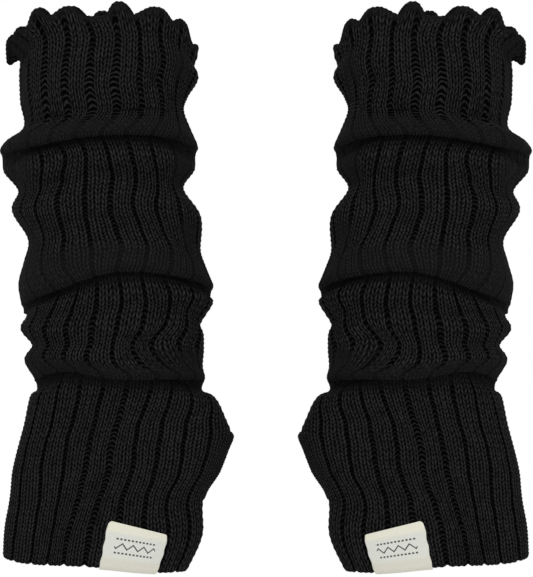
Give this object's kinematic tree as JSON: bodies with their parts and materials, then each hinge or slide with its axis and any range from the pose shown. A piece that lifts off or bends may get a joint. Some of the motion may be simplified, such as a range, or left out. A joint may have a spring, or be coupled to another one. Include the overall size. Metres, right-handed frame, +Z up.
{
  "type": "pair of arm warmers",
  "caption": "Pair of slouched rib-knit fingerless arm warmers, frilled at the elbow end, with thumb holes and folded hem labels, hollow in their worn shape.",
  "frame": {"origin": "where the pair is held: midway between the two forearms' axes, at half the height of the slouched sleeves", "axes": "+Z up along the forearms, from the hand hems to the frilled elbow ends; -Y to the front, where the labels are; +X from the left arm warmer to the right one, as seen from the front"},
  "size_m": [0.2728, 0.0856, 0.2926],
  "materials": {
    "left_sleeve_cloth": "matte rib knit",
    "left_frill_edging_cloth": "matte overlocked yarn",
    "left_thumb_edging_cloth": "matte overlocked yarn",
    "left_label_cloth": "soft woven",
    "right_sleeve_cloth": "matte rib knit",
    "right_frill_edging_cloth": "matte overlocked yarn",
    "right_thumb_edging_cloth": "matte overlocked yarn",
    "right_label_cloth": "soft woven"
  },
  "bodies": {
    "root": {"left_sleeve": "left_sleeve_cloth", "left_frill_edging": "left_frill_edging_cloth", "left_thumb_edging": "left_thumb_edging_cloth", "left_label": "left_label_cloth", "right_sleeve": "right_sleeve_cloth", "right_frill_edging": "right_frill_edging_cloth", "right_thumb_edging": "right_thumb_edging_cloth", "right_label": "right_label_cloth"}
  },
  "joints": []
}
